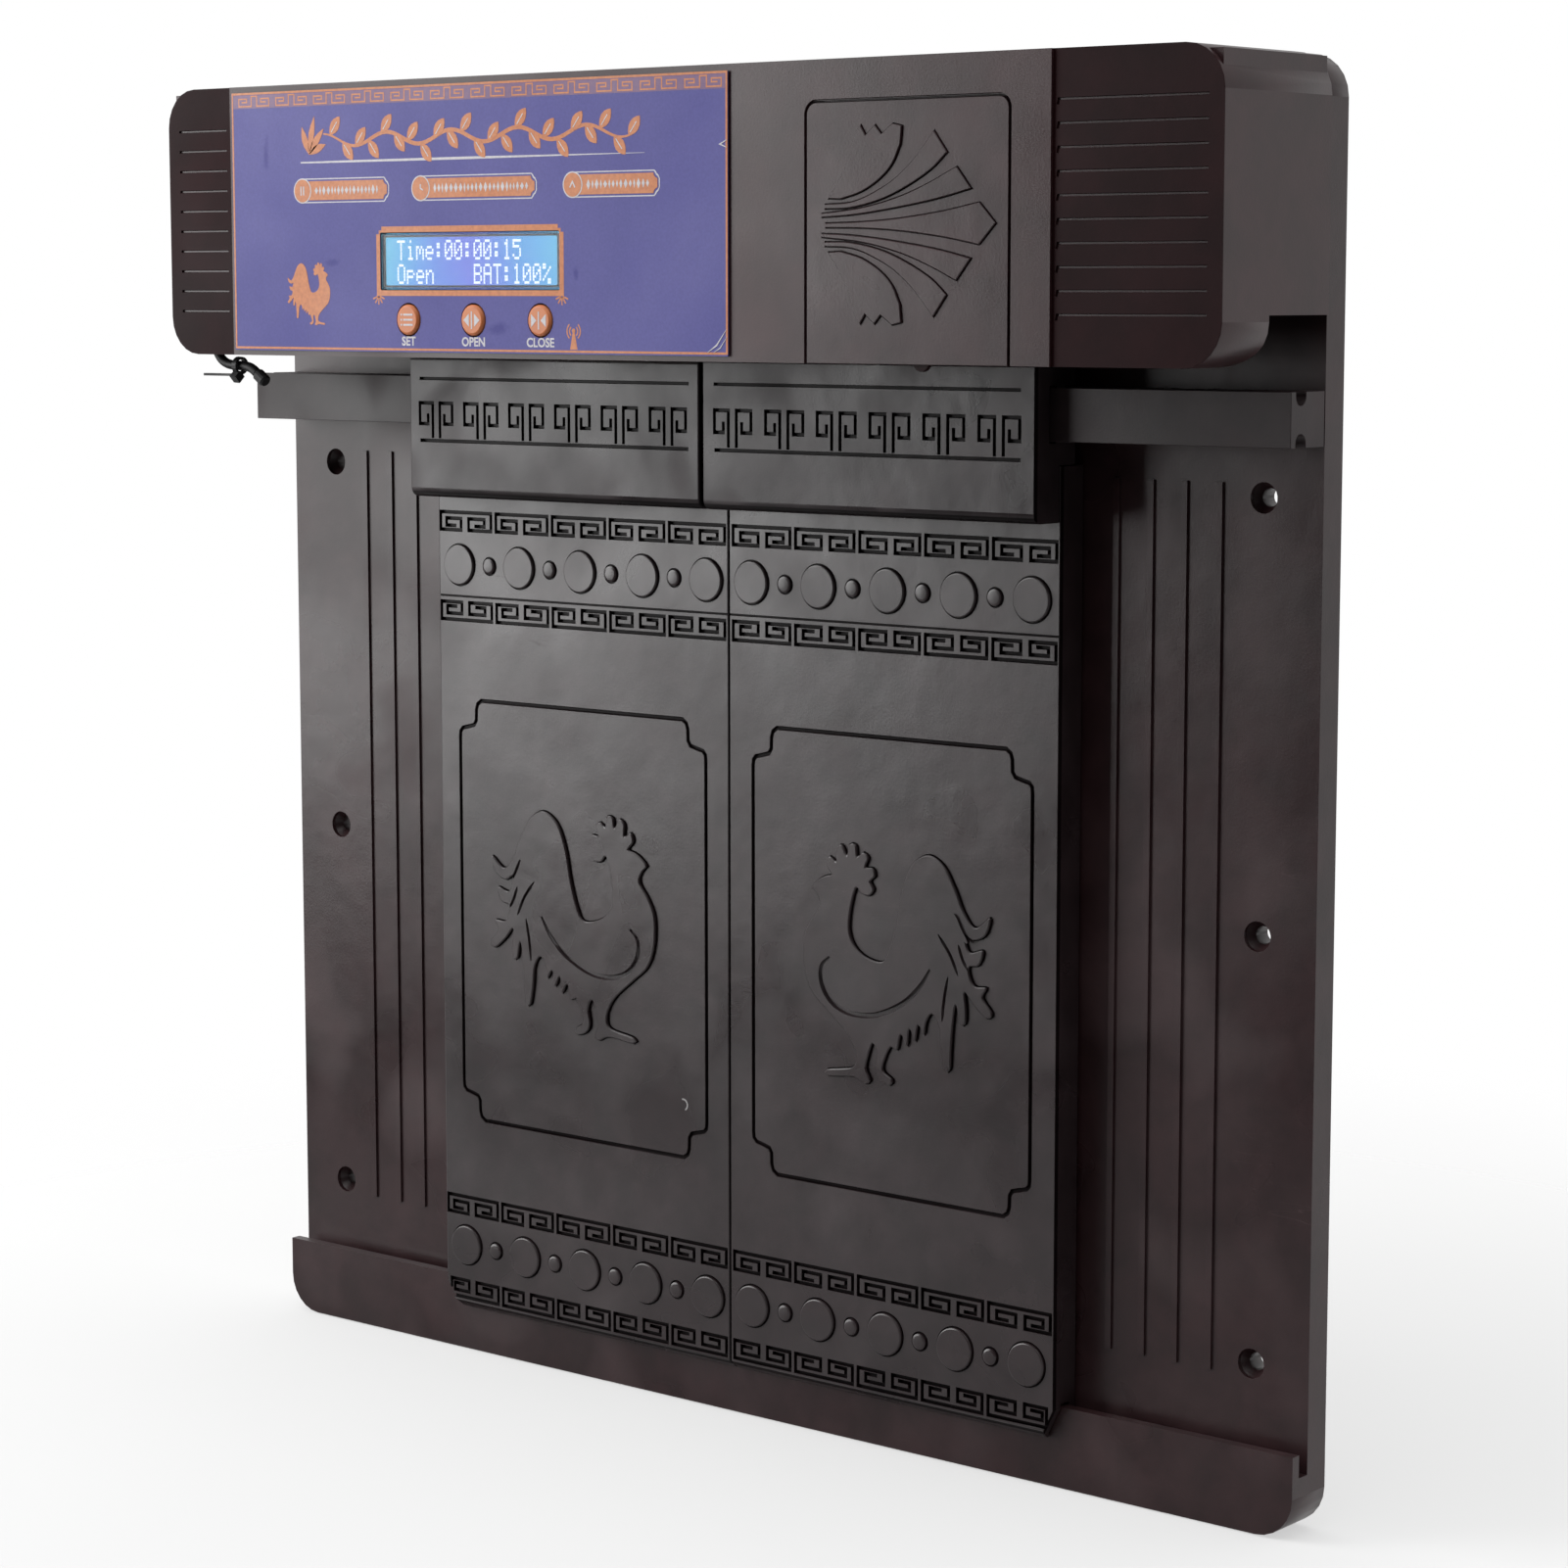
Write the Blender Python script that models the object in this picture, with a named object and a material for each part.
# Automatic coop door: a wall plate with a doorway, two sliding leaves on a
# grooved rail, and a control housing with a rack-and-pinion drive above them.
#
# Units in this file are millimetres and are turned into metres by place().
#   x : to the right, 0 on the seam between the two closed leaves
#   d : forward from the front face of the wall plate (negative is into the plate)
#   z : up from the underside of the plate
# World axes: +X right, +Y towards the wall, +Z up. The world origin is on the
# back face of the plate, in the middle of the sill, SILL_DATUM above the underside.

import math

import bmesh
import bpy
from mathutils import Matrix, Vector

# ------------------------------------------------------------------ dimensions
PLATE_T = 8.2            # thickness of the wall plate
SILL_DATUM = 10.0        # height of the world origin above the underside
PLATE_W = 174.9          # half width of the plate, the trough and the rail
PLATE_H = 357.5
PLATE_R = 10.5           # corner radius
DOOR_HALF = 99.0         # doorway in the plate
DOOR_Z0, DOOR_Z1 = 24.0, 243.0

TROUGH_D = 6.75          # front of the trough wall
TROUGH_WALL = 2.95
TROUGH_TOP = 21.2
TROUGH_FLOOR = 15.4

RAIL_D = 15.0            # front of the rail
RAIL_Z0, RAIL_Z1 = 265.4, 278.5
RAIL_GROOVE_D = 10.7     # both guide grooves lie this far from the plate
RAIL_GROOVE_R = 2.2
RAIL_GROOVE_DEPTH = 3.3

LEAF_W = 106.4           # outer edge of a leaf
LEAF_SEAM = 0.35         # half of the gap between the leaves
LEAF_D0, LEAF_D1 = 1.0, 10.8
LEAF_TOP = 259.2
TRAVEL = 98.0            # how far each leaf slides
HANGER_D = 21.8          # front of the hanger
HANGER_Z0, HANGER_Z1 = 245.4, 283.5
HANGER_BACK = 4.5

COVER_W = 175.6
COVER_Z0, COVER_Z1 = 284.3, 357.6
COVER_D = 47.0           # front of the middle of the cover
COVER_END_D = 46.2       # front of its two lower end fields
COVER_END_L, COVER_END_R = -149.6, 128.6
COVER_WALL = 2.5
COVER_SKIN_D = 43.5      # inside of the front wall
COVER_R = 10.5
NOTCH_D, NOTCH_Z = 26.2, 296.3   # side notches that let the hangers out

LABEL_X0, LABEL_X1 = -148.2, 31.0
LABEL_Z0, LABEL_Z1 = 285.7, 355.8
LCD_X0, LCD_X1 = -90.7, -25.9
LCD_Z0, LCD_Z1 = 302.3, 317.2
BUTTON_X = (-80.5, -56.6, -32.6)
BUTTON_Z = 294.3
BUTTON_R = 4.1
BUTTON_TRAVEL = 0.4

LID_X0, LID_X1 = 55.5, 116.7
LID_Z1 = 347.4

PINION_D = 13.5          # distance of the pinion's axis from the plate
GEAR_M = 1.0
GEAR_N = 12
GEAR_PRESSURE = math.radians(25.0)
PINION_Z0, PINION_Z1 = 285.7, 291.3
RACK_Z0, RACK_Z1 = 285.5, 291.5

MOUNT_HOLE_X = 158.3
MOUNT_HOLE_Z = (40.3, 146.6, 252.8)
MOUNT_HOLE_R = 2.25
MOUNT_SINK_R = 3.8

LEAD_R = 1.35
LEAD_BEND = 6.5
GLAND_X = -151.6
GLAND_Z = 294.2
LEAD_SLOT_X0 = -167.8      # slot in the housing's floor that the lead drops through
LEAD_SLOT_X1 = -159.6

# ------------------------------------------------------------------ helpers
for old in list(bpy.data.objects):
    bpy.data.objects.remove(old, do_unlink=True)

COLLECTION = bpy.context.scene.collection
MM = 0.001


def place(x, d, z):
    return Vector((x * MM, -(PLATE_T + d) * MM, (z - SILL_DATUM) * MM))


def material(name, colour, rough, metal=0.0, alpha=1.0):
    mat = bpy.data.materials.new(name)
    mat.use_nodes = True
    bsdf = mat.node_tree.nodes["Principled BSDF"]
    bsdf.inputs["Base Color"].default_value = (*colour, 1.0)
    bsdf.inputs["Roughness"].default_value = rough
    bsdf.inputs["Metallic"].default_value = metal
    bsdf.inputs["Alpha"].default_value = alpha
    return mat


M_PLATE = material("plate_plastic", (0.060, 0.052, 0.052), 0.45)
M_COVER = material("cover_plastic", (0.055, 0.045, 0.045), 0.42)
M_LEAF = material("leaf_plastic", (0.075, 0.068, 0.068), 0.40)
M_LABEL = material("label_film", (0.19, 0.17, 0.42), 0.45)
M_CLEAR = material("clear_lens", (0.55, 0.70, 0.90), 0.08, alpha=0.4)
M_SCREEN = material("lcd_blue", (0.20, 0.35, 0.85), 0.25)
M_ORANGE = material("button_orange", (0.85, 0.32, 0.10), 0.45)
M_STEEL = material("screw_steel", (0.55, 0.55, 0.56), 0.35, 1.0)
M_CAN = material("motor_steel", (0.62, 0.62, 0.60), 0.30, 1.0)
M_ACETAL = material("gear_acetal", (0.82, 0.80, 0.74), 0.45)
M_BOARD = material("board_green", (0.03, 0.22, 0.10), 0.50)
M_BLACK = material("part_black", (0.02, 0.02, 0.02), 0.50)
M_RUBBER = material("lead_rubber", (0.015, 0.015, 0.016), 0.60)
M_CELL = material("cell_jacket", (0.10, 0.16, 0.30), 0.40)
M_CONTACT = material("contact_nickel", (0.70, 0.68, 0.62), 0.30, 1.0)
M_TRAY = material("tray_plastic", (0.10, 0.10, 0.10), 0.55)


def link(ob, parent, origin):
    """Put the object at its own reference point, under an optional empty."""
    ob.location = place(*origin) - (parent.location if parent else Vector())
    if parent:
        ob.parent = parent
    COLLECTION.objects.link(ob)


def empty(name, origin):
    ob = bpy.data.objects.new(name, None)
    ob.empty_display_size = 0.01
    ob.location = place(*origin)
    COLLECTION.objects.link(ob)
    return ob


def finish_mesh(name, bm, mat, origin, parent, smooth):
    bmesh.ops.recalc_face_normals(bm, faces=bm.faces)
    mesh = bpy.data.meshes.new(name)
    bm.to_mesh(mesh)
    bm.free()
    base = place(*origin)
    for v in mesh.vertices:
        v.co -= base
    if smooth:
        mesh.shade_smooth()
        mesh.set_sharp_from_angle(angle=math.radians(35))
    ob = bpy.data.objects.new(name, mesh)
    if mat:
        ob.data.materials.append(mat)
    link(ob, parent, origin)
    return ob


def guide(ob):
    ob.hide_render = True
    ob.display_type = 'WIRE'
    return ob


def add_prism(bm, pts, axis, a, b):
    """Extrude a closed outline. axis 'x': pts are (d, z); 'd': (x, z); 'z': (x, d)."""
    def at(p, t):
        if axis == 'x':
            return place(t, p[0], p[1])
        if axis == 'd':
            return place(p[0], t, p[1])
        return place(p[0], p[1], t)
    low = [bm.verts.new(at(p, a)) for p in pts]
    high = [bm.verts.new(at(p, b)) for p in pts]
    n = len(pts)
    bm.faces.new(low[::-1])
    bm.faces.new(high)
    for i in range(n):
        j = (i + 1) % n
        bm.faces.new((low[i], low[j], high[j], high[i]))


def box_pts(a0, a1, b0, b1):
    return [(a0, b0), (a1, b0), (a1, b1), (a0, b1)]


def add_box(bm, x0, x1, d0, d1, z0, z1):
    add_prism(bm, box_pts(x0, x1, z0, z1), 'd', d0, d1)


def circle(cx, cy, r, n, start=0.0):
    return [(cx + r * math.cos(start + 2 * math.pi * i / n),
             cy + r * math.sin(start + 2 * math.pi * i / n)) for i in range(n)]


def arc(cx, cy, r, a0, a1, n):
    """n + 1 points from angle a0 to a1, in degrees."""
    return [(cx + r * math.cos(math.radians(a0 + (a1 - a0) * i / n)),
             cy + r * math.sin(math.radians(a0 + (a1 - a0) * i / n))) for i in range(n + 1)]


def rounded(x0, x1, z0, z1, r, n=6):
    return (arc(x1 - r, z1 - r, r, 0, 90, n) + arc(x0 + r, z1 - r, r, 90, 180, n)
            + arc(x0 + r, z0 + r, r, 180, 270, n) + arc(x1 - r, z0 + r, r, 270, 360, n))


def add_turned(bm, profile, centre, axis, n):
    """Stack of circles (r, t) along axis 'd' or 'z' about centre, ends closed."""
    rings = []
    for r, t in profile:
        ring = []
        for i in range(n):
            a = 2 * math.pi * (i + 0.5) / n
            if axis == 'd':
                ring.append(bm.verts.new(place(centre[0] + r * math.cos(a), t,
                                               centre[1] + r * math.sin(a))))
            else:
                ring.append(bm.verts.new(place(centre[0] + r * math.cos(a),
                                               centre[1] + r * math.sin(a), t)))
        rings.append(ring)
    bm.faces.new(rings[0][::-1])
    bm.faces.new(rings[-1])
    for lo, hi in zip(rings, rings[1:]):
        for i in range(n):
            j = (i + 1) % n
            bm.faces.new((lo[i], lo[j], hi[j], hi[i]))


def solid(name, mat, origin, build, parent=None, smooth=False):
    bm = bmesh.new()
    build(bm)
    return finish_mesh(name, bm, mat, origin, parent, smooth)


def boolean(ob, other, how):
    mod = ob.modifiers.new(how.lower() + "_" + other.name, 'BOOLEAN')
    mod.operation = how
    mod.solver = 'EXACT'
    mod.object = other
    guide(other)


def cut(ob, name, build):
    other = solid(name, None, (0, 0, 0), build)
    boolean(ob, other, 'DIFFERENCE')


def add(ob, name, build):
    other = solid(name, None, (0, 0, 0), build)
    boolean(ob, other, 'UNION')


def screw(name, mat, centre, axis, head_r, head0, head1, shank_r, tip, parent=None, n=12):
    """Pan-head screw along d or z: head from head0 to head1, shank on to tip."""
    origin = (centre[0], head1, centre[1]) if axis == 'd' else (centre[0], centre[1], head1)
    sign = 1.0 if tip > head1 else -1.0
    profile = [(head_r * 0.72, head0), (head_r, head0 + 0.35 * (head1 - head0)),
               (head_r, head1), (shank_r, head1),
               (shank_r, tip - sign * shank_r), (shank_r * 0.35, tip)]
    return solid(name, mat, origin,
                 lambda bm: add_turned(bm, profile, centre, axis, n), parent, True)


# ------------------------------------------------------------------ wall plate
def plate_body(bm):
    add_prism(bm, rounded(-PLATE_W, PLATE_W, 0, PLATE_H, PLATE_R), 'd', -PLATE_T, 0.0)


plate = solid("back_plate", M_PLATE, (0, -PLATE_T, SILL_DATUM), plate_body)


def trough_block(bm):
    w, r = PLATE_W, PLATE_R
    pts = ([(w, TROUGH_TOP), (-w, TROUGH_TOP)]
           + arc(-w + r, r, r, 180, 270, 6) + arc(w - r, r, r, 270, 360, 6))
    add_prism(bm, pts, 'd', -4.0, TROUGH_D)


add(plate, "guide_trough", trough_block)


def rib_set(bm):
    for x in (116.0, 126.1, 135.9, 146.0):
        for s in (-1, 1):
            add_box(bm, s * x - 0.9, s * x + 0.9, -1.0, 0.6, 36.9, 256.3)


add(plate, "guide_ribs", rib_set)

cut(plate, "cut_trough", lambda bm: add_box(
    bm, -180, 180, 0.0, TROUGH_D - TROUGH_WALL, TROUGH_FLOOR, TROUGH_TOP + 4))
cut(plate, "cut_doorway", lambda bm: add_prism(
    bm, rounded(-DOOR_HALF, DOOR_HALF, DOOR_Z0, DOOR_Z1, 5.0, 4), 'd', -20, 10))


def mount_holes(bm):
    prof = [(MOUNT_SINK_R, 0.5), (MOUNT_SINK_R, -1.2), (MOUNT_HOLE_R, -3.0), (MOUNT_HOLE_R, -12.0)]
    for s in (-1, 1):
        for z in MOUNT_HOLE_Z:
            add_turned(bm, prof, (s * MOUNT_HOLE_X, z), 'd', 20)


cut(plate, "cut_mount_holes", mount_holes)

RAIL_SCREW_X = (-140.0, -45.0, 45.0, 140.0)
RAIL_SCREW_Z = 0.5 * (RAIL_Z0 + RAIL_Z1)
COVER_SCREWS = ((-168.3, 350.2), (168.3, 350.2), (-168.3, 304.3), (168.3, 304.3))
TRAY_SCREWS = ((-90.0, 307.0), (90.0, 307.0))


def plate_screw_holes(bm):
    prof = [(3.3, -12.0), (3.3, -5.0), (1.9, -5.0), (1.9, 1.0)]
    for x in RAIL_SCREW_X:
        add_turned(bm, prof, (x, RAIL_SCREW_Z), 'd', 12)
    for x, z in COVER_SCREWS:
        add_turned(bm, prof, (x, z), 'd', 12)
    for x, z in TRAY_SCREWS:
        add_turned(bm, [(1.9, -6.5), (1.9, 1.0)], (x, z), 'd', 12)


cut(plate, "cut_plate_screws", plate_screw_holes)


def plate_pockets(bm):
    for s in (-1, 1):
        for x0, x1 in ((104.0, 125.0), (129.0, 150.0)):
            for z0 in (30.0, 83.0, 136.0, 189.0):
                add_box(bm, *sorted((s * x0, s * x1)), -12.0, -3.2, z0, z0 + 49.0)
        for x0, x1 in ((4.0, 33.0), (37.0, 66.0), (100.0, 125.0), (129.0, 150.0)):
            for z0, z1 in ((282.0, 300.0), (318.0, 346.0)):
                add_box(bm, *sorted((s * x0, s * x1)), -12.0, -3.2, z0, z1)


cut(plate, "cut_plate_pockets", plate_pockets)

# ------------------------------------------------------------------ guide rail


def rail_body(bm):
    g, r = RAIL_GROOVE_D, RAIL_GROOVE_R
    zt = RAIL_Z1 - (RAIL_GROOVE_DEPTH - r)
    zb = RAIL_Z0 + (RAIL_GROOVE_DEPTH - r)
    pts = [(0.3, RAIL_Z0), (g - r, RAIL_Z0)]
    pts += arc(g, zb, r, 180, 0, 8)
    pts += [(g + r, RAIL_Z0), (RAIL_D, RAIL_Z0), (RAIL_D, RAIL_Z1), (g + r, RAIL_Z1)]
    pts += arc(g, zt, r, 0, -180, 8)
    pts += [(g - r, RAIL_Z1), (0.3, RAIL_Z1)]
    add_prism(bm, pts, 'x', -PLATE_W, PLATE_W)


rail = solid("guide_rail", M_PLATE, (0, 0.3, RAIL_SCREW_Z), rail_body)


def rail_holes(bm):
    for x in RAIL_SCREW_X:
        add_turned(bm, [(1.9, -1.0), (1.9, 11.6)], (x, RAIL_SCREW_Z), 'd', 12)


cut(rail, "cut_rail_screws", rail_holes)

for i, x in enumerate(RAIL_SCREW_X):
    screw("rail_screw_%d" % (i + 1), M_STEEL, (x, RAIL_SCREW_Z), 'd', 2.9, -7.6, -5.4, 1.5, 11.0)

# ------------------------------------------------------------------ front cover


def cover_body(bm):
    add_prism(bm, rounded(-COVER_W, COVER_W, COVER_Z0, COVER_Z1, COVER_R), 'd', 0.3, COVER_D)


cover = solid("front_cover", M_COVER, (0, 0.3, COVER_Z0), cover_body)
cut(cover, "cut_cover_hollow", lambda bm: add_prism(
    bm, rounded(-COVER_W + COVER_WALL, COVER_W - COVER_WALL, COVER_Z0 + COVER_WALL,
                COVER_Z1 - COVER_WALL, COVER_R - COVER_WALL), 'd', -5.0, COVER_SKIN_D))


def cover_underside(bm):
    r = 6.0
    pts = [(-3.0, 275.0), (-3.0, NOTCH_Z), (NOTCH_D, NOTCH_Z)]
    pts += arc(NOTCH_D + r, COVER_Z0 + r, r, 180, 270, 6)
    pts += [(NOTCH_D + r, 275.0)]
    add_prism(bm, pts, 'x', -182, 182)


cut(cover, "cut_cover_underside", cover_underside)


def cover_bosses(bm):
    for x, z in COVER_SCREWS:
        s = 1 if x > 0 else -1
        if z > 330:
            add_box(bm, *sorted((s * 163.6, s * 174.2)), 0.6, 44.5, 345.6, 356.2)
        else:
            add_box(bm, *sorted((s * 163.6, s * 174.2)), 0.6, 44.5, 300.1, 308.6)
    for x in (-101.5, -16.5):
        for z in (292.8, 329.8):
            add_turned(bm, [(2.4, 34.9), (2.4, 44.6)], (x, z), 'd', 12)


add(cover, "guide_bosses", cover_bosses)


def cover_holes(bm):
    for x, z in COVER_SCREWS:
        add_turned(bm, [(1.9, -2.0), (1.9, 10.0)], (x, z), 'd', 12)
    for x in BUTTON_X:
        add_turned(bm, [(BUTTON_R + 0.5, 42.0), (BUTTON_R + 0.5, 49.0)], (x, BUTTON_Z), 'd', 20)
    add_box(bm, LCD_X0 - 0.3, LCD_X1 + 0.3, 42.0, 49.0, LCD_Z0 - 0.3, LCD_Z1 + 0.3)
    add_box(bm, -180, COVER_END_L, COVER_END_D, 49.0, 280, 360)
    add_box(bm, COVER_END_R, 180, COVER_END_D, 49.0, 280, 360)


cut(cover, "cut_cover_holes", cover_holes)
cut(cover, "cut_lead_slot", lambda bm: add_prism(
    bm, rounded(LEAD_SLOT_X0, LEAD_SLOT_X1, 37.4, 43.0, 2.6), 'z', 280.0, 288.0))


def lid_slot(bm):
    x0, x1 = LID_X0 - 0.3, LID_X1 + 0.3
    pts = [(x0 - 1.2, 44.5), (x1 + 1.2, 44.5), (x1 + 1.2, 45.9), (x1, 45.9),
           (x1, 49.0), (x0, 49.0), (x0, 45.9), (x0 - 1.2, 45.9)]
    add_prism(bm, pts, 'z', 275.0, LID_Z1 + 0.3)


cut(cover, "cut_lid_slot", lid_slot)
cut(cover, "cut_cell_opening", lambda bm: add_box(bm, 57.3, 114.9, 40.0, 45.2, 289.0, 345.5))

for i, (x, z) in enumerate(COVER_SCREWS):
    screw("cover_screw_%d" % (i + 1), M_STEEL, (x, z), 'd', 2.9, -7.6, -5.4, 1.5, 9.4)

# ------------------------------------------------------------------ battery lid
lid_frame = empty("lid_slide", (86.1, 45.8, COVER_Z0))


def lid_body(bm):
    r = 3.0
    pts = [(LID_X0, COVER_Z0), (LID_X1, COVER_Z0)]
    pts += arc(LID_X1 - r, LID_Z1 - r, r, 0, 90, 5)
    pts += arc(LID_X0 + r, LID_Z1 - r, r, 90, 180, 5)
    add_prism(bm, pts, 'd', 44.8, COVER_D)


lid = solid("battery_lid", M_COVER, (86.1, 44.8, COVER_Z0), lid_body, lid_frame)


add(lid, "guide_lid_flange", lambda bm: add_box(
    bm, LID_X0 - 0.9, LID_X1 + 0.9, 44.8, 45.6, COVER_Z0 + 1.0, LID_Z1 - 3.5))
add(lid, "guide_lid_catch", lambda bm: add_turned(
    bm, [(2.6, 45.1), (2.6, 46.4)], (90.5, COVER_Z0 + 0.9), 'd', 16))

# ------------------------------------------------------------------ label and display


def label_cutouts(bm):
    add_box(bm, LCD_X0 - 0.3, LCD_X1 + 0.3, 46.0, 49.0, LCD_Z0 - 0.3, LCD_Z1 + 0.3)
    for x in BUTTON_X:
        add_turned(bm, [(BUTTON_R + 0.4, 46.0), (BUTTON_R + 0.4, 49.0)], (x, BUTTON_Z), 'd', 20)


label = solid("label_overlay", M_LABEL, (LABEL_X0, 47.3, LABEL_Z0),
              lambda bm: add_box(bm, LABEL_X0, LABEL_X1, 47.3, 47.7, LABEL_Z0, LABEL_Z1))
cut(label, "cut_label", label_cutouts)

solid("lcd_window", M_CLEAR, (LCD_X0, 44.0, LCD_Z0),
      lambda bm: add_box(bm, LCD_X0, LCD_X1, 44.0, 47.5, LCD_Z0, LCD_Z1))
bezel = solid("lcd_bezel", M_BLACK, (-93.9, 34.9, 299.8),
              lambda bm: add_box(bm, -93.9, -22.7, 34.9, 43.0, 299.8, 320.0))
cut(bezel, "cut_bezel", lambda bm: add_box(
    bm, LCD_X0 - 0.2, LCD_X1 + 0.2, 41.0, 45.0, LCD_Z0 - 0.2, LCD_Z1 + 0.2))
solid("lcd_screen", M_SCREEN, (LCD_X0 + 0.1, 41.3, LCD_Z0 + 0.1),
      lambda bm: add_box(bm, LCD_X0 + 0.1, LCD_X1 - 0.1, 41.3, 42.7, LCD_Z0 + 0.1, LCD_Z1 - 0.1))
solid("control_board", M_BOARD, (-105, 33.0, 289.5),
      lambda bm: add_box(bm, -105.0, -13.0, 33.0, 34.6, 289.5, 333.0))

# ------------------------------------------------------------------ buttons and switches
for label_name, x in zip(("set", "open", "close"), BUTTON_X):
    def switch_body(bm, x=x):
        add_box(bm, x - 3.0, x + 3.0, 34.9, 38.3, BUTTON_Z - 3.0, BUTTON_Z + 3.0)
    sw = solid("switch_" + label_name, M_BLACK, (x, 34.9, BUTTON_Z), switch_body)
    add(sw, "guide_plunger_" + label_name, lambda bm, x=x: add_turned(
        bm, [(1.7, 37.0), (1.7, 39.0)], (x, BUTTON_Z), 'd', 12))
    axis = empty("button_axis_" + label_name, (x, 42.9, BUTTON_Z))
    prof = [(2.0, 39.6), (2.0, 41.3), (5.0, 41.3), (5.0, 42.9), (BUTTON_R, 42.9),
            (BUTTON_R, 47.9), (BUTTON_R - 0.5, 48.4)]
    solid("button_" + label_name, M_ORANGE, (x, 42.9, BUTTON_Z),
          lambda bm, x=x, prof=prof: add_turned(bm, prof, (x, BUTTON_Z), 'd', 20), axis, True)

# ------------------------------------------------------------------ tray, motor, drive


def tray_body(bm):
    add_box(bm, -172.4, 172.4, 0.6, 30.0, 297.0, 299.5)


tray = solid("chassis_tray", M_TRAY, (0, 0.6, 297.0), tray_body)


def tray_walls(bm):
    add_box(bm, -164.6, 53.2, 28.2, 30.0, 287.2, 298.5)
    add_box(bm, 118.9, 164.6, 28.2, 30.0, 287.2, 298.5)
    add_box(bm, -150.0, -20.0, 0.6, 2.6, 298.0, 315.0)
    add_box(bm, 20.0, 150.0, 0.6, 2.6, 298.0, 315.0)


add(tray, "guide_tray_walls", tray_walls)


def tray_cuts(bm):
    add_box(bm, 53.6, 118.5, 24.0, 32.0, 284.0, 302.0)
    add_turned(bm, [(4.0, 290.0), (4.0, 303.0)], (0.0, PINION_D), 'z', 20)
    add_turned(bm, [(2.5, 24.0), (2.5, 36.0)], (GLAND_X, GLAND_Z), 'd', 16)
    for x, z in TRAY_SCREWS:
        add_turned(bm, [(1.9, -1.0), (1.9, 4.0)], (x, z), 'd', 16)


cut(tray, "cut_tray", tray_cuts)
for i, (x, z) in enumerate(TRAY_SCREWS):
    screw("tray_screw_%d" % (i + 1), M_STEEL, (x, z), 'd', 2.9, 5.1, 2.9, 1.5, -6.0)

MOTOR_R = 12.2
gearbox = solid("gearbox", M_CAN, (0, PINION_D, 299.9),
                lambda bm: add_turned(bm, [(MOTOR_R, 299.9), (MOTOR_R, 318.0)],
                                      (0.0, PINION_D), 'z', 32), None, True)
cut(gearbox, "cut_gearbox", lambda bm: add_turned(
    bm, [(2.3, 298.0), (2.3, 306.0)], (0.0, PINION_D), 'z', 20))
solid("motor_can", M_CAN, (0, PINION_D, 318.3),
      lambda bm: add_turned(bm, [(MOTOR_R, 318.3), (MOTOR_R, 346.5), (MOTOR_R - 1.5, 348.0),
                                 (5.0, 348.0), (5.0, 350.5)],
                            (0.0, PINION_D), 'z', 32), None, True)


def bracket_body(bm):
    add_box(bm, -17.5, 17.5, 3.2, 30.0, 321.0, 323.5)


bracket = solid("motor_bracket", M_STEEL, (0, 3.2, 321.0), bracket_body)


def bracket_legs(bm):
    add_box(bm, -17.5, -15.5, 3.2, 30.0, 299.8, 322.0)
    add_box(bm, 15.5, 17.5, 3.2, 30.0, 299.8, 322.0)


add(bracket, "guide_bracket_legs", bracket_legs)
cut(bracket, "cut_bracket", lambda bm: add_turned(
    bm, [(MOTOR_R + 0.4, 315.0), (MOTOR_R + 0.4, 330.0)], (0.0, PINION_D), 'z', 32))

drive_axis = empty("drive_axis", (0.0, PINION_D, PINION_Z0))
solid("drive_shaft", M_STEEL, (0, PINION_D, PINION_Z0),
      lambda bm: add_turned(bm, [(2.0, 285.2), (2.0, 305.4)], (0.0, PINION_D), 'z', 20),
      drive_axis, True)

PITCH_R = GEAR_M * GEAR_N / 2
BASE_R = PITCH_R * math.cos(GEAR_PRESSURE)


def involute(angle):
    return math.tan(angle) - angle


def pinion_outline():
    """Involute teeth; one tooth gap is centred on each rack tooth at rest."""
    tip, root, slack = PITCH_R + 0.85, PITCH_R - 1.25, 0.20
    half = (math.pi * GEAR_M / 2 - slack) / (2 * PITCH_R)
    inv0 = involute(GEAR_PRESSURE)
    flank = []
    steps = 3
    for i in range(steps + 1):
        r = BASE_R + 0.02 + (tip - BASE_R - 0.02) * i / steps
        a = math.acos(BASE_R / r)
        flank.append((r, half + inv0 - involute(a)))
    pts = []
    pitch = 2 * math.pi / GEAR_N
    for k in range(GEAR_N):
        mid = math.pi / 2 + (k + 0.5) * pitch
        pts.append((root, mid - flank[0][1]))
        pts += [(r, mid - a) for r, a in flank]
        pts += [(r, mid + a) for r, a in reversed(flank)]
        pts.append((root, mid + flank[0][1]))
    return [(r * math.cos(a), PINION_D + r * math.sin(a)) for r, a in pts]


pinion = solid("drive_pinion", M_ACETAL, (0, PINION_D, PINION_Z0),
               lambda bm: add_prism(bm, pinion_outline(), 'z', PINION_Z0, PINION_Z1),
               drive_axis)
cut(pinion, "cut_pinion_bore", lambda bm: add_turned(
    bm, [(2.3, 280.0), (2.3, 295.0)], (0.0, PINION_D), 'z', 20))


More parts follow.
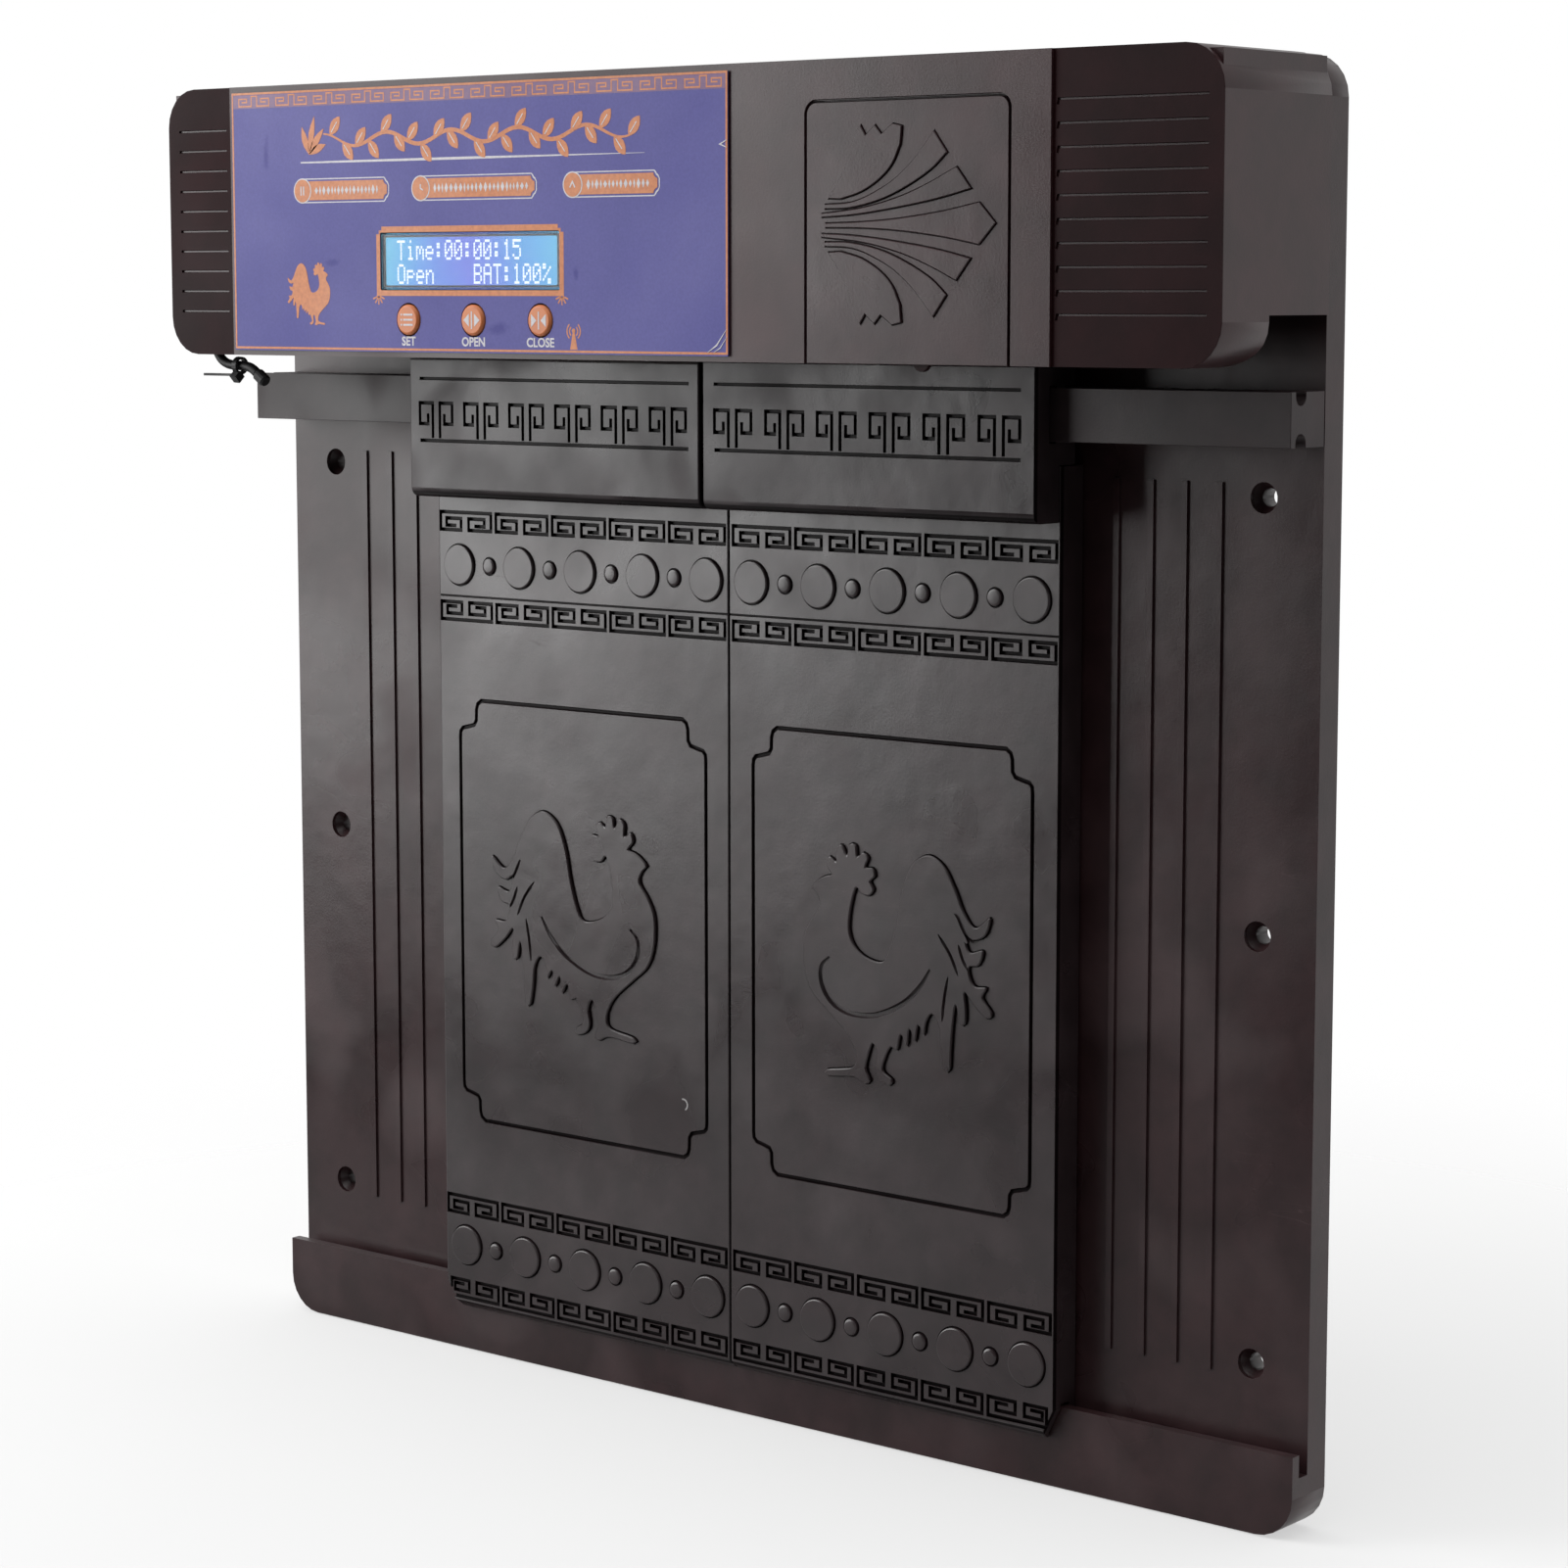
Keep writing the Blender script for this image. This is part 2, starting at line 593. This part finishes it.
def rack_outline(side, x0, x1):
    """Toothed edge towards the pinion. side +1 is the front rack, -1 the rear one."""
    pitch_d = PINION_D + side * PITCH_R
    tip_d = pitch_d - side * 0.85
    root_d = pitch_d + side * 1.25
    back_d = root_d + side * 2.1
    half = (math.pi * GEAR_M / 2 - 0.30) / 2
    t = math.tan(GEAR_PRESSURE)
    far = x1 if x1 > -x0 else x0
    k0 = math.ceil((max(x0, min(far, -9.0)) + 1.6) / (math.pi * GEAR_M))
    k1 = math.floor((min(x1, max(far, 9.0)) - 1.6) / (math.pi * GEAR_M))
    pts = [(x0, back_d), (x0, root_d)]
    for k in range(k0, k1 + 1):
        c = k * math.pi * GEAR_M
        pts += [(c - half - 1.25 * t, root_d), (c - half + 0.85 * t, tip_d),
                (c + half - 0.85 * t, tip_d), (c + half + 1.25 * t, root_d)]
    pts += [(x1, root_d), (x1, back_d)]
    return pts


# ------------------------------------------------------------------ leaves
RACK_TABS = (24.0, 52.0)
PANEL_SCREW_X = (15.0, 53.0, 92.0)
PANEL_SCREW_Z = 252.3

for side_name, s in (("left", -1), ("right", 1)):
    frame = empty("leaf_%s_slide" % side_name, (s * 53.0, RAIL_GROOVE_D, RAIL_SCREW_Z))

    # hanger: a C section round the rail, with a bead in each groove
    def hanger_body(bm, s=s):
        g, r = RAIL_GROOVE_D, 1.8
        zt = RAIL_Z1 - (RAIL_GROOVE_DEPTH - RAIL_GROOVE_R)
        zb = RAIL_Z0 + (RAIL_GROOVE_DEPTH - RAIL_GROOVE_R)
        pts = [(11.1, HANGER_Z0)]
        pts += arc(HANGER_D - 2.6, HANGER_Z0 + 2.6, 2.6, 270, 360, 4)
        pts += [(HANGER_D, HANGER_Z1), (HANGER_BACK, HANGER_Z1), (HANGER_BACK, 279.0),
                (g - r, 279.0)]
        pts += arc(g, zt, r, 180, 360, 6)
        pts += [(g + r, 279.0), (15.4, 279.0), (15.4, 264.9), (g + r, 264.9)]
        pts += arc(g, zb, r, 0, 180, 6)
        pts += [(g - r, 264.9), (HANGER_BACK, 264.9), (HANGER_BACK, 259.5), (11.1, 259.5)]
        a, b = sorted((s * 0.7, s * (LEAF_W - 0.1)))
        add_prism(bm, pts, 'x', a, b)

    hanger = solid("hanger_" + side_name, M_LEAF, (s * 53.0, 11.1, HANGER_Z0), hanger_body, frame)

    # toothed rack on top of the hanger; the left one is in front of the pinion
    rack_side = 1 if s < 0 else -1
    tip_in = PINION_D + rack_side * (PITCH_R - 0.85)
    back = PINION_D + rack_side * (PITCH_R + 1.25 + 2.1)
    screw_d = PINION_D + rack_side * 1.0
    rack_x = sorted((s * 62.0, -s * 108.0))

    def hanger_holes(bm, s=s, screw_d=screw_d):
        for x in RACK_TABS:
            add_turned(bm, [(1.5, 279.6), (1.5, 285.0)], (s * x, screw_d), 'z', 12)
        for x in PANEL_SCREW_X:
            add_turned(bm, [(1.9, 10.0), (1.9, 19.6)], (s * x, PANEL_SCREW_Z), 'd', 12)

    cut(hanger, "cut_hanger_" + side_name, hanger_holes)

    rack = solid("rack_" + side_name, M_ACETAL, (0, back, RACK_Z0),
                 lambda bm, rs=rack_side, rx=rack_x: add_prism(
                     bm, rack_outline(rs, rx[0], rx[1]), 'z', RACK_Z0, RACK_Z1), frame)

    def rack_foot(bm, s=s, rs=rack_side, back=back, screw_d=screw_d):
        a, b = sorted((s * 4.0, s * 62.0))
        d0, d1 = sorted((back, PINION_D + rs * 5.4))
        add_box(bm, a, b, d0, d1, 283.8, RACK_Z0 + 0.5)

    def rack_tabs(bm, s=s, rs=rack_side, screw_d=screw_d):
        for x in RACK_TABS:
            t0, t1 = sorted((PINION_D + rs * 6.4, screw_d - rs * 3.0))
            add_box(bm, s * x - 3.2, s * x + 3.2, t0, t1, 283.8, 285.4)

    add(rack, "guide_foot_" + side_name, rack_foot)
    add(rack, "guide_tabs_" + side_name, rack_tabs)

    def rack_holes(bm, s=s, screw_d=screw_d):
        for x in RACK_TABS:
            add_turned(bm, [(1.5, 282.0), (1.5, 287.0)], (s * x, screw_d), 'z', 12)

    cut(rack, "cut_rack_" + side_name, rack_holes)
    for i, x in enumerate(RACK_TABS):
        screw("rack_screw_%s_%d" % (side_name, i + 1), M_STEEL, (s * x, screw_d), 'z',
              2.3, 287.3, 285.7, 1.2, 280.2, frame, 12)

    # door panel: front skin, skirt over the trough wall and tongue in the trough
    def panel_body(bm, s=s):
        pts = [(LEAF_D0, 16.2), (3.2, 16.2), (3.2, 22.0), (7.2, 22.0), (7.2, 12.9), (8.0, 12.9),
               (LEAF_D1, 15.4), (LEAF_D1, LEAF_TOP), (LEAF_D0, LEAF_TOP)]
        a, b = sorted((s * LEAF_SEAM, s * LEAF_W))
        add_prism(bm, pts, 'x', a, b)

    panel = solid("door_panel_" + side_name, M_LEAF, (s * 53.0, LEAF_D0, 22.0), panel_body, frame)

    def panel_cuts(bm, s=s):
        for x0, x1 in ((6.0, 34.0), (38.5, 66.5), (71.0, 100.0)):
            for z0 in (28.0, 80.0, 132.0, 184.0):
                add_box(bm, *sorted((s * x0, s * x1)), -3.0, 6.5, z0, z0 + 48.0)
        for x in PANEL_SCREW_X:
            add_turned(bm, [(3.2, -1.0), (3.2, 6.0), (1.9, 6.0), (1.9, 12.0)],
                       (s * x, PANEL_SCREW_Z), 'd', 12)
        wedge = [(s * 102.9, 10.0), (s * 109.0, 10.0), (s * 109.0, 26.0), (s * LEAF_W, 21.0),
                 (s * 102.9, 14.0)]
        add_prism(bm, wedge, 'd', 5.0, 14.0)

    cut(panel, "cut_panel_" + side_name, panel_cuts)
    for i, x in enumerate(PANEL_SCREW_X):
        screw("panel_screw_%s_%d" % (side_name, i + 1), M_STEEL, (s * x, PANEL_SCREW_Z), 'd',
              2.7, 3.6, 5.7, 1.5, 19.0, frame, 12)

# ------------------------------------------------------------------ batteries
box = solid("battery_box", M_BLACK, (54.7, 24.5, 287.8),
            lambda bm: add_box(bm, 54.7, 117.5, 24.5, 43.1, 287.8, 350.5))
cut(box, "cut_battery_box", lambda bm: add_box(bm, 56.0, 116.2, 26.0, 46.0, 289.2, 349.2))
CELL_X = [86.1 + 14.9 * (i - 1.5) for i in range(4)]
for i, x in enumerate(CELL_X):
    prof = [(7.1, 294.0), (7.1, 343.9), (6.6, 344.4), (2.7, 344.4), (2.7, 345.5)]
    if i % 2:
        prof = [(2.7, 293.0), (2.7, 294.1), (6.6, 294.1), (7.1, 294.6), (7.1, 344.5)]
    solid("battery_%d" % (i + 1), M_CELL, (x, 34.0, 294.0),
          lambda bm, x=x, prof=prof: add_turned(bm, prof, (x, 34.0), 'z', 16), None, True)
for name, z0, z1, first in (("contact_strip_lower", 289.5, 290.2, 0),
                            ("contact_strip_upper", 348.2, 348.9, 1)):
    strip = solid(name, M_CONTACT, (86.1, 34.0, z0),
                  lambda bm, z0=z0, z1=z1: add_box(bm, 56.6, 115.6, 29.0, 39.0, z0, z1))

    def springs(bm, z0=z0, z1=z1, first=first):
        for i, x in enumerate(CELL_X):
            if i % 2 == first:
                if first == 0:
                    add_turned(bm, [(4.2, z1 - 0.4), (3.0, 293.6)], (x, 34.0), 'z', 12)
                else:
                    add_turned(bm, [(3.0, 344.9), (4.2, z0 + 0.4)], (x, 34.0), 'z', 12)
            else:
                if first == 0:
                    add_turned(bm, [(2.4, z1 - 0.4), (2.0, 292.6)], (x, 34.0), 'z', 12)
                else:
                    add_turned(bm, [(2.0, 345.9), (2.4, z0 + 0.4)], (x, 34.0), 'z', 12)

    add(strip, "guide_springs_%d" % first, springs)

# ------------------------------------------------------------------ lead and gland
# The gland sits in the tray's front lip. The lead turns out of it to the left, loops
# down once and runs back to the right under the housing's lower edge.
solid("cable_gland", M_RUBBER, (GLAND_X, 30.0, GLAND_Z),
      lambda bm: add_turned(bm, [(2.2, 26.8), (2.2, 30.3), (3.1, 30.3), (3.1, 31.2),
                                 (1.9, 32.6)], (GLAND_X, GLAND_Z), 'd', 16), None, True)


def lead_route():
    x, z, r = GLAND_X - LEAD_BEND, GLAND_Z, LEAD_BEND
    start = 32.9
    pts = [(GLAND_X, start, z)]
    for a in (30, 60, 90):
        a = math.radians(a)
        pts.append((x + r * math.cos(a), start + 0.8 + r * math.sin(a), z))
    d = start + 0.8 + r
    for a in (30, 60, 90, 120, 150, 180):
        a = math.radians(a)
        pts.append((x - r * math.sin(a), d, z - r + r * math.cos(a)))
    low = z - 2 * r
    pts.append((x + 3.4, d, low))
    for a in (14, 28, 42):
        a = math.radians(a)
        pts.append((x + 5.0 + 8.0 * math.sin(a), d, low - 8.0 * (1 - math.cos(a))))
    return pts


def smooth_route(points, per_span):
    """Uniform cubic B-spline that starts and ends on the route's own end points."""
    pts = [Vector(p) for p in points]
    pts = [2 * pts[0] - pts[1]] + pts + [2 * pts[-1] - pts[-2]]
    out = []
    for i in range(1, len(pts) - 2):
        p0, p1, p2, p3 = pts[i - 1:i + 3]
        for k in range(per_span):
            t = k / per_span
            out.append(((1 - t) ** 3 * p0 + (3 * t ** 3 - 6 * t * t + 4) * p1
                        + (-3 * t ** 3 + 3 * t * t + 3 * t + 1) * p2 + t ** 3 * p3) / 6)
    out.append(pts[-2])
    return out


lead_pts = smooth_route(lead_route(), 3)
curve = bpy.data.curves.new("power_lead", 'CURVE')
curve.dimensions = '3D'
spline = curve.splines.new('POLY')
spline.points.add(len(lead_pts) - 1)
base = place(*lead_pts[0])
for point, p in zip(spline.points, lead_pts):
    w = place(*p) - base
    point.co = (w.x, w.y, w.z, 1.0)
curve.bevel_depth = LEAD_R * MM
curve.bevel_resolution = 2
curve.use_fill_caps = True
curve.materials.append(M_RUBBER)
lead = bpy.data.objects.new("power_lead", curve)
lead.location = base
COLLECTION.objects.link(lead)


def frame_at(p, q):
    """Rotation that takes +Z to the direction from p to q, both in place() space."""
    axis = (place(*q) - place(*p)).normalized()
    return Vector((0, 0, 1)).rotation_difference(axis).to_matrix().to_4x4()


def turned_piece(name, mat, profile, n, start, toward):
    bm = bmesh.new()
    rings = []
    for r, t in profile:
        rings.append([bm.verts.new((r * MM * math.cos(2 * math.pi * i / n),
                                    r * MM * math.sin(2 * math.pi * i / n), t * MM))
                      for i in range(n)])
    bm.faces.new(rings[0][::-1])
    bm.faces.new(rings[-1])
    for lo, hi in zip(rings, rings[1:]):
        for i in range(n):
            j = (i + 1) % n
            bm.faces.new((lo[i], lo[j], hi[j], hi[i]))
    bmesh.ops.recalc_face_normals(bm, faces=bm.faces)
    mesh = bpy.data.meshes.new(name)
    bm.to_mesh(mesh)
    bm.free()
    mesh.shade_smooth()
    mesh.set_sharp_from_angle(angle=math.radians(35))
    ob = bpy.data.objects.new(name, mesh)
    if mat:
        mesh.materials.append(mat)
    ob.matrix_world = Matrix.Translation(place(*start)) @ frame_at(start, toward)
    COLLECTION.objects.link(ob)
    return ob


end, before = lead_pts[-1], lead_pts[-2]
ahead = end + (end - before)
step = (end - before).normalized()
turned_piece("lead_connector", M_RUBBER,
             [(1.5, 0.3), (1.8, 0.7), (1.8, 3.8), (1.4, 4.3)], 16, end, ahead)

# cable tie: a band round the lead with a square head and a free tail
tie_i = min(range(len(lead_pts)), key=lambda i: abs(lead_pts[i].x + 154.6)
            + (0.0 if lead_pts[i].z < 284.0 else 99.0))
tie_at, tie_to = lead_pts[tie_i], lead_pts[tie_i + 1]
tie = turned_piece("cable_tie", M_RUBBER, [(2.5, -0.8), (2.5, 0.8)], 20, tie_at, tie_to)
tie_bore = turned_piece("cut_tie_bore", None, [(1.85, -3.0), (1.85, 3.0)], 20, tie_at, tie_to)
along = (tie_to - tie_at).normalized()
side = Vector((0.0, 0.35, -1.0))
side = (side - along * side.dot(along)).normalized()
head_at = tie_at + side * 3.2
boolean(tie, turned_piece("guide_tie_head", None, [(1.8, -1.2), (1.8, 1.2)], 4,
                          head_at, head_at + along), 'UNION')
hx, hd, hz = head_at
add(tie, "guide_tie_tail", lambda bm: add_box(
    bm, hx - 13.0, hx + 0.2, hd - 0.7, hd + 0.7, hz + 0.1, hz + 0.8))
boolean(tie, tie_bore, 'DIFFERENCE')
